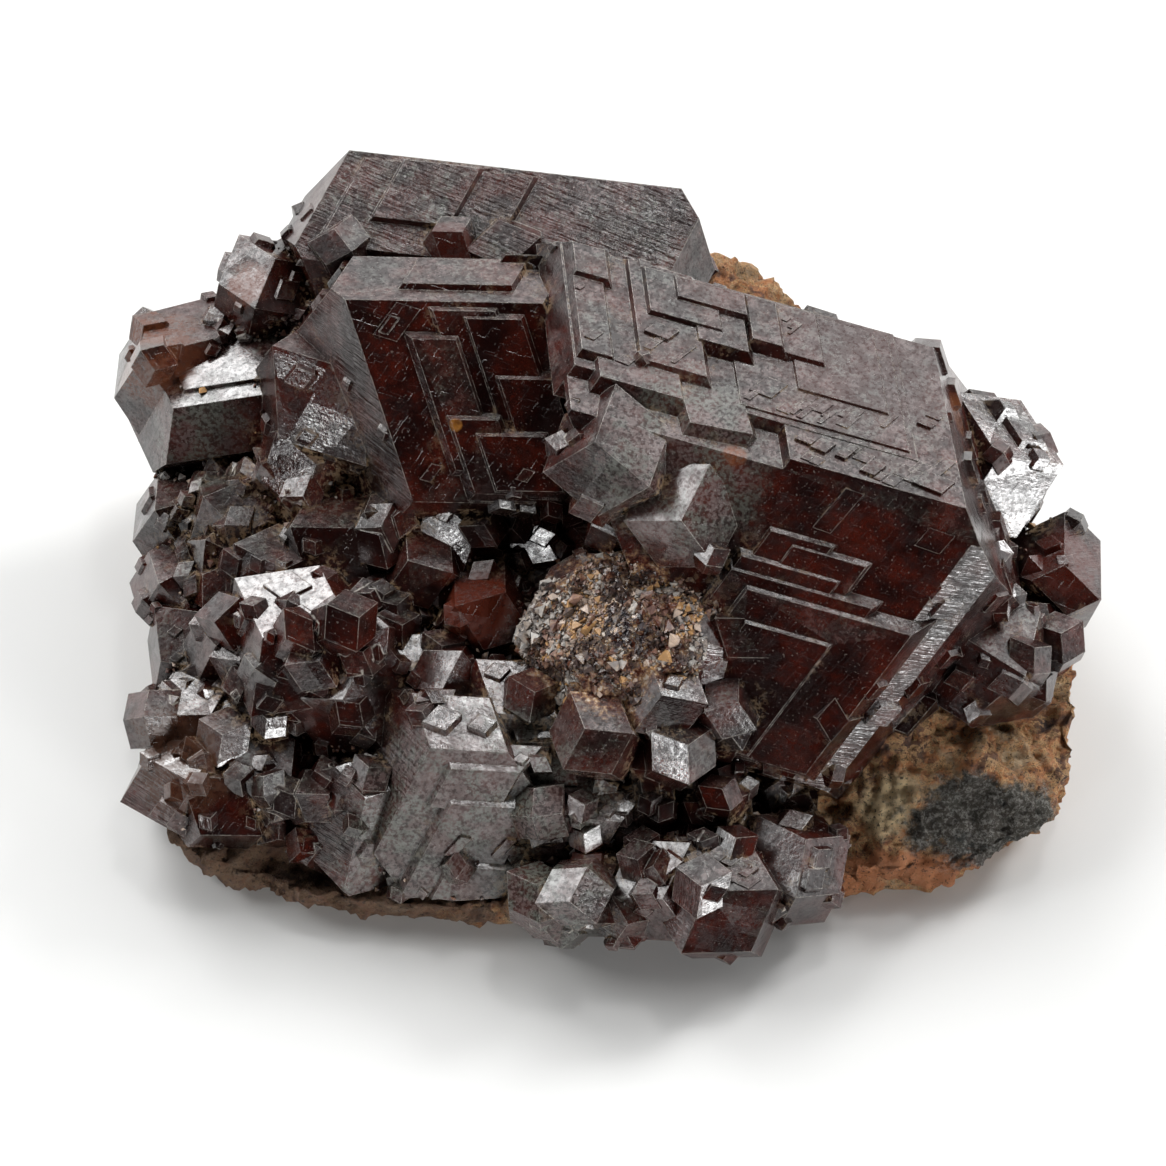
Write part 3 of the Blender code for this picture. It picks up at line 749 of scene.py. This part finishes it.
def strips(rng, low, high, mean):
    """Cut a stretch into uneven lengths around a mean."""
    cuts = [low]
    while cuts[-1] < high:
        cuts.append(cuts[-1] + mean * math.exp(rng.gauss(-0.1, 0.5)))
    return list(zip(cuts, cuts[1:]))


def add_plate(shells, face, corners, rise, tint, rng):
    """One raised plate on a face: a low frustum over four corners, rooted below the face."""
    middle = sum(corners) / 4.0
    top = []
    for corner in corners:
        inward = middle - corner
        share = min(0.3, 0.25 * rise / max(np.linalg.norm(inward), 1e-6))
        top.append(corner + inward * share + face.normal * (rise * rng.uniform(0.90, 1.0)))
    bottom = [corner - face.normal * 0.15 for corner in corners]
    if np.cross(corners[1] - corners[0], corners[2] - corners[1]) @ face.normal < 0:
        top = top[::-1]
        bottom = bottom[::-1]
    polygons = [[4, 5, 6, 7], [3, 2, 1, 0]]
    polygons += [[i, (i + 1) % 4, 4 + (i + 1) % 4, 4 + i] for i in range(4)]
    shells.add(bottom + top, polygons, tint)


def grow_plates(shells, tree, face, rng, mean, least, rise):
    """A layer of growth plates laid like uneven bricks along the face's two edge ways.

    Plates lie where a slow noise is above least, so that the layer ends in a stepped rim.
    """
    way_a, way_b = face.ways
    axes = (way_a, unit(np.cross(face.normal, way_a)))
    skew = np.linalg.inv(np.array([
        [way_a @ axes[0], way_b @ axes[0]],
        [way_a @ axes[1], way_b @ axes[1]],
    ]))
    points = face.triangles.reshape(-1, 3)
    level = points[0] @ face.normal
    flat = np.stack([points @ axes[0], points @ axes[1]], axis=1)
    along = flat @ skew.T
    low = along.min(axis=0)
    high = along.max(axis=0)
    shift = Vector([rng.uniform(0.0, 90.0) for _ in range(3)])
    for a_from, a_to in strips(rng, low[0] - rng.random() * mean, high[0], mean):
        for b_from, b_to in strips(rng, low[1] - rng.random() * mean, high[1], mean * 1.6):
            corners = [way_a * u + way_b * v for u, v in (
                (a_from, b_from), (a_to, b_from), (a_to, b_to), (a_from, b_to))]
            corners = [corner + face.normal * (level - corner @ face.normal) for corner in corners]
            middle = Vector(sum(corners) / 4.0)
            here = noise.noise(middle / (mean * 2.6) + shift) + rng.gauss(0.0, 0.05)
            if here < least or is_smooth(middle):
                continue
            if all(inside_face(tree, face, corner) for corner in corners):
                add_plate(shells, face, corners, rise * rng.uniform(0.8, 1.0), rng.random(), rng)


def plate_plan(face):
    """The layers of plates on a face, each with its mean width, its least noise and its rise."""
    if face.area < CRYSTAL_FACE_AREA * 4:
        return ()
    if faces_any(face.normal, TERRACED_DIRECTIONS):
        return TERRACED_LAYERS
    if faces_any(face.normal, NESTED_DIRECTIONS):
        return NESTED_LAYERS
    return LEDGED_LAYERS if faces_any(face.normal, LEDGED_DIRECTIONS) else ()


# The corners and the twelve rhombic faces of a garnet crystal of size one
RHOMBIC_CORNERS = [np.array(corner, dtype=float) for corner in (
    (1, 1, 1), (1, 1, -1), (1, -1, 1), (1, -1, -1), (-1, 1, 1), (-1, 1, -1), (-1, -1, 1), (-1, -1, -1),
    (2, 0, 0), (-2, 0, 0), (0, 2, 0), (0, -2, 0), (0, 0, 2), (0, 0, -2),
)]


def rhombic_faces():
    """The twelve faces as corner numbers, turned so that they face out."""
    faces = []
    for x in (-1, 0, 1):
        for y in (-1, 0, 1):
            for z in (-1, 0, 1):
                normal = np.array((x, y, z), dtype=float)
                if normal @ normal != 2:
                    continue
                members = [
                    i for i, corner in enumerate(RHOMBIC_CORNERS) if abs(corner @ normal - 2.0) < 1e-6]
                centre = sum(RHOMBIC_CORNERS[i] for i in members) / 4.0
                axis = unit(RHOMBIC_CORNERS[members[0]] - centre)
                other = np.cross(unit(normal), axis)
                members.sort(key=lambda i: math.atan2(
                    (RHOMBIC_CORNERS[i] - centre) @ other, (RHOMBIC_CORNERS[i] - centre) @ axis))
                faces.append(members)
    return faces


RHOMBIC_FACES = rhombic_faces()


def add_crystal(shells, at, size, turn, tint, stretch=(1.0, 1.0, 1.0)):
    """A small garnet crystal: its centre, the distance of its faces, and its turn."""
    matrix = np.array(turn)
    places = [matrix @ (corner * (size / math.sqrt(2.0)) * stretch) + at for corner in RHOMBIC_CORNERS]
    shells.add(places, RHOMBIC_FACES, tint)


def sticks_out(at, reach):
    """Whether a shape of this reach around a place would leave the box of the solids."""
    return any(at[i] - reach < BOX_LOW[i] or at[i] + reach > BOX_HIGH[i] for i in range(3))


def dress_garnet(faces, source, material):
    """The grown body with its faces' growth lines, as a mesh of its own."""
    rng = random.Random(SEED_TINTS)
    mesh = source.data.copy()
    mesh.name = "garnet_faces"
    count = len(mesh.polygons)
    tints = np.zeros(count)
    lined = np.zeros(count)
    lines_a = np.zeros((count, 3))
    lines_b = np.zeros((count, 3))
    for face in faces:
        tint = rng.random()
        way_a, way_b = face.ways
        across_a = np.cross(face.normal, way_a)
        across_b = np.cross(face.normal, way_b)
        for member in face.members:
            tints[member] = tint
            lined[member] = lined_share(face.normal)
            lines_a[member] = across_a
            lines_b[member] = across_b
    put_attributes(mesh, tints, lined, lines_a, lines_b)
    mesh.materials.clear()
    mesh.materials.append(material)
    return new_object("garnet_faces", mesh)


def tree_of(objects):
    """A search tree over the meshes of several objects, in millimetres."""
    places = []
    polygons = []
    for item in objects:
        base = len(places)
        places.extend([Vector(place) for place in vectors_of(item.data)])
        polygons.extend([[base + index for index in polygon.vertices] for polygon in item.data.polygons])
    return BVHTree.FromPolygons(places, polygons)


def openness(tree, point, normal, rng, reach, count=14):
    """The share of directions above a surface point in which nothing stands near."""
    start = point + normal * 0.02
    free = 0
    for _ in range(count):
        way = Vector((rng.gauss(0, 1), rng.gauss(0, 1), rng.gauss(0, 1))).normalized()
        if way.dot(normal) < 0:
            way = -way
        way = (way + normal * 0.4).normalized()
        if tree.ray_cast(start, way, reach)[0] is None:
            free += 1
    return free / count


def any_turn(rng):
    """A random turn as a matrix."""
    return Euler([rng.uniform(0, 2 * math.pi) for _ in range(3)]).to_matrix()


def surface_points(faces, rng, count, keep):
    """Random points on the faces that keep() accepts, with their normals and faces."""
    chosen = [face for face in faces if keep(face)]
    triangles = [(triangle, face) for face in chosen for triangle in face.triangles]
    areas = [np.linalg.norm(np.cross(t[1] - t[0], t[2] - t[0])) for t, _ in triangles]
    for triangle, face in rng.choices(triangles, weights=areas, k=count):
        u, v = rng.random(), rng.random()
        if u + v > 1.0:
            u, v = 1.0 - u, 1.0 - v
        point = triangle[0] + u * (triangle[1] - triangle[0]) + v * (triangle[2] - triangle[0])
        yield Vector(point), Vector(face.normal), face


def in_druse(point):
    """How far a point is from the middle of the knobbly mass; below one is inside it."""
    away = Vector(point) - Vector(DRUSE_CENTRE)
    return Vector([away[i] / DRUSE_REACH[i] for i in range(3)]).length


def crust_height(x, y):
    """Height of the dark crust between the crystals."""
    return 11.3 + 0.4 * y - 0.005 * x * x


def is_smooth(point):
    """Whether a point lies on a part of a crystal that stays smooth."""
    return any((Vector(point) - Vector(at)).length < reach for at, reach in SMOOTH_PLACES)


def lattice(face):
    """The crystal axes of a face whose edges are those of a rhombic face, or nothing."""
    first, second = face.ways
    lean = first @ second
    if abs(abs(lean) - 1.0 / 3.0) > 0.03:
        return None
    if lean > 0.0:
        second = -second
    short = unit(first - second)
    axes = [unit(face.normal + short), unit(face.normal - short), -unit(first + second)]
    if np.cross(axes[0], axes[1]) @ axes[2] < 0.0:
        axes = [axes[1], axes[0], axes[2]]
    return np.stack(axes, axis=1)


def grow_parallel_crystals(faces, material):
    """Crystals sunk in the faces of the others and turned as they are, as hillocks and steps."""
    rng = random.Random(SEED_PARALLEL)
    shells = Shells()
    broad = TERRACED_DIRECTIONS + NESTED_DIRECTIONS + LEDGED_DIRECTIONS
    for face in faces:
        axes = lattice(face)
        if axes is None or face.area < CRYSTAL_FACE_AREA or faces_any(face.normal, broad):
            continue
        count = int(face.area * 0.08 + rng.random())
        for point, normal, _ in surface_points([face], rng, count, lambda face: True):
            if is_smooth(point) or in_druse(point) < 1.0:
                continue
            size = min(1.5, 0.42 * math.sqrt(face.area), 0.95 * math.exp(rng.gauss(0.0, 0.40)))
            rise = min(0.4 * size, rng.uniform(0.14, 0.40))
            at = np.array(point - normal * (size - rise))
            if sticks_out(at, 1.4 * size):
                continue
            add_crystal(shells, at, size, axes, rng.random())
    return shells.build("parallel_crystals", material)


def grow_crowd(shells, faces, rng):
    """Crystals of a middling size, sunk in the larger ones where these crowd together."""
    for point, normal, _ in surface_points(faces, rng, CROWD_TRIES, lambda face: face.normal[2] > -0.2):
        near = any((point - Vector(at)).length < reach for at, reach in CROWDED_PLACES)
        if not near or is_smooth(point) or in_druse(point) < 1.1 or rng.random() > 0.30:
            continue
        size = min(1.7, 0.85 * math.exp(rng.gauss(0.0, 0.35)))
        at = np.array(point - normal * (size * rng.uniform(0.30, 0.75)))
        if sticks_out(at, 1.42 * size):
            continue
        turn = Euler([math.radians(angle + rng.gauss(0.0, 16.0)) for angle in CROWD_TURN]).to_matrix()
        add_crystal(shells, at, size, turn, rng.random(), (1.0, rng.uniform(0.8, 1.3), 1.0))


def grow_rim(shells, rng):
    """Gray crystals that overlap the rim of the knobbly middle."""
    for at, size, turn in RIM_CRYSTALS:
        angles = [math.radians(angle) for angle in turn]
        add_crystal(shells, np.array(at), size, Euler(angles).to_matrix(), rng.uniform(0.8, 1.0))


def grow_small_crystals(faces, tree, material):
    """Small crystals that fill the corners and the dark crust between the large ones."""
    rng = random.Random(SEED_SMALL)
    shells = Shells()
    grow_crowd(shells, faces, rng)
    grow_rim(shells, rng)
    for point, normal, face in surface_points(faces, rng, SMALL_TRIES, lambda face: face.normal[2] > -0.3):
        above = point.z - crust_height(point.x, point.y)
        if in_druse(point) < 1.12 or above > 1.4:
            continue
        crust = face.area < CRYSTAL_FACE_AREA
        free = openness(tree, point, normal, rng, 2.2)
        if free > (0.85 if crust else 0.42) or rng.random() > (0.7 if crust else 0.5):
            continue
        size = min(1.5, 0.46 * math.exp(rng.gauss(0.0, 0.52))) * (1.0 if crust else 0.55)
        at = np.array(point - normal * (size * 0.25))
        if sticks_out(at, 1.4 * size):
            continue
        add_crystal(shells, at, size, any_turn(rng), rng.random(), (1.0, rng.uniform(0.8, 1.2), 1.0))
    return shells.build("small_crystals", material)


def grain_material():
    """Grains of the knobbly mass: golden, tan, rust and gray, each its own colour."""
    material, tree, shader = shader_nodes("golden_grains")
    graph = Graph(tree)
    place = graph.place()
    body = stops(graph, graph.attribute("tint"), GRAIN_COLOURS, "CONSTANT")
    body = graph.mix(0.30, body, crumb_colour(graph, place))
    hidden = graph.node("ShaderNodeAmbientOcclusion", Distance=0.5 * MM)
    hidden.samples = 3
    # Painted shade: the grains go dark where the ambient occlusion finds them crowded
    body = graph.mix(graph.ramp(hidden.outputs["AO"], 0.25, 0.75, 0.9, 0.0), body, GRAIN_PAINTED_SHADE)
    tree.links.new(body, shader.inputs["Base Color"])
    satin = graph.ramp(graph.noise(place, 2.0, 3.0), 0.3, 0.7, 0.18, 0.55)
    tree.links.new(satin, shader.inputs["Roughness"])
    tree.links.new(graph.bump(graph.noise(place, 8.0, 4.0), 0.6, 0.05), shader.inputs["Normal"])
    shader.inputs["IOR"].default_value = 1.70
    return material


def grain_tint(point, rng):
    """The tint of a grain: a colour of its own, or mostly that of the spot it lies in."""
    for at, reach, low, high in GRAIN_SPOTS:
        if (point - Vector(at)).length < reach and rng.random() < 0.8:
            return rng.uniform(low, high)
    patch = 0.44 + 1.2 * noise.noise(Vector(point) * 0.75) + rng.gauss(0.0, 0.17)
    return min(0.99, max(0.09, patch))


def add_grain(shells, at, size, rng, tint):
    """A small chip: an uneven octahedron around its centre."""
    turn = np.array(any_turn(rng))
    places = []
    for axis in range(3):
        for side in (-1.0, 1.0):
            corner = np.zeros(3)
            corner[axis] = side * size * rng.uniform(0.6, 1.5)
            places.append(turn @ corner + at)
    polygons = []
    for x in (0, 1):
        for y in (2, 3):
            for z in (4, 5):
                polygons.append([x, y, z] if (x + y + z) % 2 else [x, z, y])
    shells.add(places, polygons, tint)


def grow_crumbs(faces, tree, material):
    """Fine chips of garnet and stained crumbs in the corners between the crystals."""
    rng = random.Random(SEED_CRUMBS)
    shells = Shells()
    for point, normal, _ in surface_points(faces, rng, CRUMB_TRIES, lambda face: face.normal[2] > -0.2):
        above = point.z - crust_height(point.x, point.y)
        if above > 2.5 or openness(tree, point, normal, rng, 1.6, 8) > rng.uniform(0.35, 0.80):
            continue
        size = min(0.34, 0.13 * math.exp(rng.gauss(0.0, 0.45)))
        dark = rng.random() < 0.62
        tint = rng.uniform(0.08, 0.30) if dark else rng.uniform(0.30, 1.0)
        add_grain(shells, np.array(point + normal * size * 0.2), size, rng, tint)
    return shells.build("crust_crumbs", material)


def grow_druse(tree, material):
    """The grains that coat the knobbly mass in the middle."""
    rng = random.Random(SEED_DRUSE)
    shells = Shells()
    for _ in range(GRAIN_TRIES):
        way = Vector((rng.gauss(0, 1), rng.gauss(0, 1), rng.gauss(0, 1))).normalized()
        if way.z < -0.1:
            continue
        outside = Vector(DRUSE_CENTRE) + Vector([way[i] * DRUSE_REACH[i] * 1.25 for i in range(3)])
        hit, _, _, _ = tree.ray_cast(outside, -way, 6.0)
        if hit is None or in_druse(hit) > 1.12 or in_druse(hit) < 0.85:
            continue
        away = Vector([(hit[i] - GRAINS_CENTRE[i]) / GRAINS_REACH[i] for i in range(2)])
        if away.length + 0.5 * noise.noise(hit * 0.5) > rng.uniform(0.88, 1.05):
            continue
        size = min(0.50, 0.105 * math.exp(rng.gauss(0.0, 0.50)))
        at = np.array(hit + way * (size * rng.uniform(-0.5, 0.2)))
        add_grain(shells, at, size, rng, grain_tint(hit, rng))
    return shells.build("druse_grains", material)


def rock_material():
    """Weathered matrix rock: rust brown with tan, cream and green-black patches."""
    material, tree, shader = shader_nodes("weathered_rock_fine")
    graph = Graph(tree)
    place = graph.place()
    grains = graph.ramp(graph.noise(place, 1.8, 5.0, 0.78), 0.40, 0.60)
    body = stops(graph, graph.noise(place, 0.30, 7.0, 0.72), ROCK_COLOURS)
    body = graph.mix(graph.times(grains, 0.35), body, ROCK_GRAINS)

    # Cracks run where a slow noise crosses its middle: dark, with pale rims
    rift = graph.math("ABSOLUTE", graph.math("SUBTRACT", graph.noise(place, 0.75, 6.0, 0.65), 0.5))
    body = graph.mix(graph.ramp(rift, 0.014, 0.050, 0.85, 0.0), body, RIFT_RIM)
    body = graph.mix(graph.ramp(rift, 0.000, 0.009, 0.90, 0.0), body, RIFT_DARK)

    def patch(at, reach, inner, outer):
        """A mask around a place, with its own reach in x, y and z and a ragged rim."""
        away = graph.vector_math("SUBTRACT", place, at)
        away = graph.vector_math("DIVIDE", away, reach)
        distance = graph.vector_math("LENGTH", away)
        rim = graph.math("SUBTRACT", graph.noise(place, 0.55, 5.0, 0.7), 0.5)
        ragged = graph.times(rim, 1.5)
        return graph.ramp(graph.plus(distance, ragged), inner, outer, 1.0, 0.0)

    for at, reach, inner, outer, strength, colour in ROCK_PATCHES:
        here = patch(at, reach, inner, outer)
        body = graph.mix(graph.times(here, strength), body, colour)
    glints = graph.ramp(graph.noise(place, 3.6, 5.0, 0.75), 0.46, 0.62)
    soot = graph.mix(glints, BLACK_SOOT, BLACK_GLINTS)
    body = graph.mix(graph.times(patch(*BLACK_PATCH), 0.95), body, soot)
    specks = graph.ramp(graph.noise(place, 3.8, 5.0, 0.75), 0.56, 0.62)
    body = graph.mix(graph.times(specks, 0.85), body, ROCK_SPECKS)
    tree.links.new(body, shader.inputs["Base Color"])
    rough = graph.ramp(graph.noise(place, 1.1, 4.0), 0.3, 0.7, 0.55, 0.95)
    tree.links.new(rough, shader.inputs["Roughness"])
    normal = graph.bump(graph.noise(place, 1.8, 6.0, 0.78), 1.0, 1.0)
    normal = graph.bump(graph.noise(place, 11.0, 4.0, 0.7), 0.6, 0.06, normal)
    tree.links.new(normal, shader.inputs["Normal"])
    return material


def rough_rock(source, material):
    """The rock as a fine mesh with grains, ledges and pits; its resting face stays flat."""
    mesh = source.data.copy()
    mesh.name = "rock_surface"
    piece = new_object("rock_surface", mesh)
    remesh = piece.modifiers.new("even mesh", "REMESH")
    remesh.mode = "VOXEL"
    remesh.voxel_size = ROCK_VOXEL * MM
    graph = bpy.context.evaluated_depsgraph_get()
    fine = bpy.data.meshes.new_from_object(piece.evaluated_get(graph))
    piece.modifiers.clear()
    piece.data = fine
    fine.name = "rock_surface"
    places = vectors_of(fine)
    normals = np.empty(len(fine.vertices) * 3)
    fine.vertices.foreach_get("normal", normals)
    normals = normals.reshape(-1, 3)
    moved = places.copy()
    for index, place in enumerate(places):
        at = Vector(place)
        ledges = noise.noise(at * 0.22 + Vector((5.0, 1.0, 2.0)))
        ledges = (math.floor(ledges * LEDGE_LEVELS) / LEDGE_LEVELS) * LEDGE_RELIEF
        lumps = noise.fractal(at * 0.65, 0.9, 2.0, 4) * LUMP_RELIEF
        grains = noise.fractal(at * 1.5, 0.8, 2.1, 3) * GRAIN_RELIEF
        pits = min(0.0, noise.noise(at * 1.2 + Vector((9.0, 9.0, 9.0))) + 0.25) * PIT_RELIEF
        shift = ledges + lumps + grains + pits - ROCK_INSET
        if place[2] < FLAT_CUT_BAND:
            shift *= max(0.0, place[2] / FLAT_CUT_BAND)
        moved[index] = place + normals[index] * shift
        moved[index][2] = max(0.0, moved[index][2])
    fine.vertices.foreach_set("co", (moved * MM).ravel())
    fine.materials.clear()
    fine.materials.append(material)
    fine.polygons.foreach_set("use_smooth", [True] * len(fine.polygons))
    fine.update()
    return piece


def add_floor():
    """A wide pale floor under the cluster."""
    material, _, shader = shader_nodes("pale_floor")
    shader.inputs["Base Color"].default_value = FLOOR_COLOUR
    shader.inputs["Roughness"].default_value = 0.85
    mesh = bpy.data.meshes.new("floor")
    corners = [(x * FLOOR_REACH, y * FLOOR_REACH, 0) for x, y in ((-1, -1), (1, -1), (1, 1), (-1, 1))]
    mesh.from_pydata(corners, [], [(0, 1, 2, 3)])
    mesh.materials.append(material)
    floor = new_object("floor", mesh)


def add_area_light(name, way, size, radiance):
    """A soft round light in a direction from the cluster, turned to it; its size in metres."""
    light = bpy.data.lights.new(name, "AREA")
    light.shape = "DISK"
    light.size = size
    light.energy = radiance * math.pi * math.pi * (size / 2.0) ** 2
    lamp = new_object(name, light)
    lamp.location = Vector(CAMERA_TARGET) * MM + way * LIGHT_DISTANCE
    lamp.rotation_euler = way.to_track_quat("Z", "Y").to_euler()


def direction(azimuth, elevation):
    """A direction from its angle from +Y towards +X and its angle above the floor, in degrees."""
    turn, lift = math.radians(azimuth), math.radians(elevation)
    return Vector((math.sin(turn) * math.cos(lift), math.cos(turn) * math.cos(lift), math.sin(lift)))


def add_light():
    """A bright pale dome, dark on the side that the camera looks from, and a few soft lights."""
    world = bpy.data.worlds.new("studio")
    bpy.context.scene.world = world
    world.use_nodes = True
    graph = Graph(world.node_tree)
    sky = world.node_tree.nodes["Background"]
    way = world.node_tree.nodes.new("ShaderNodeTexCoord").outputs["Generated"]
    toward_dark = graph.vector_math("DOT_PRODUCT", way, tuple(direction(*DOME_DARK_SIDE)))
    bright = graph.ramp(toward_dark, 0.02, 0.50, DOME_STRENGTH, 0.0)
    graph.feed(sky, "Strength", bright)
    graph.feed(sky, "Color", (*DOME_COLOUR, 1.0))
    for name, azimuth, elevation, size, radiance in LIGHTS:
        add_area_light(name, direction(azimuth, elevation), size, radiance)


def add_camera():
    """The camera at the photograph's place."""
    camera = bpy.data.cameras.new("camera")
    camera.lens = CAMERA_LENS
    camera.sensor_width = 36.0
    camera.clip_start = 0.01
    camera.clip_end = 20.0
    eye = new_object("camera", camera)
    lift = math.radians(CAMERA_ELEVATION)
    offset = Vector((0.0, -math.cos(lift), math.sin(lift))) * CAMERA_DISTANCE
    eye.location = (Vector(CAMERA_TARGET) + offset) * MM
    eye.rotation_euler = (math.radians(90.0 - CAMERA_ELEVATION), 0.0, 0.0)
    bpy.context.scene.camera = eye


def main():
    """Dress the two bodies, light them and place the camera."""
    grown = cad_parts["garnet_crystals"]
    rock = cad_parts["matrix_rock"]
    faces = find_faces(grown.data)
    garnet = garnet_material()
    body = dress_garnet(faces, grown, garnet)
    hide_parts("garnet_crystals")

    tree = tree_of([grown, rock])
    rng = random.Random(SEED_PLATES)
    plates = Shells()
    for face in faces:
        for mean, least, rise in plate_plan(face):
            grow_plates(plates, tree, face, rng, mean, least, rise)
    steps = plates.build("growth_plates", garnet)
    parallel = grow_parallel_crystals(faces, garnet)
    small = grow_small_crystals(faces, tree, garnet)
    grains = grain_material()
    crumbs = grow_crumbs(faces, tree, grains)
    druse = grow_druse(tree, grains)
    for piece in (body, steps, parallel, small, crumbs, druse):
        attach(piece, "root")

    surface = rough_rock(rock, rock_material())
    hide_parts("matrix_rock")
    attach(surface, "root")

    add_floor()
    add_light()
    add_camera()
    bpy.context.scene.view_settings.view_transform = "Standard"


main()
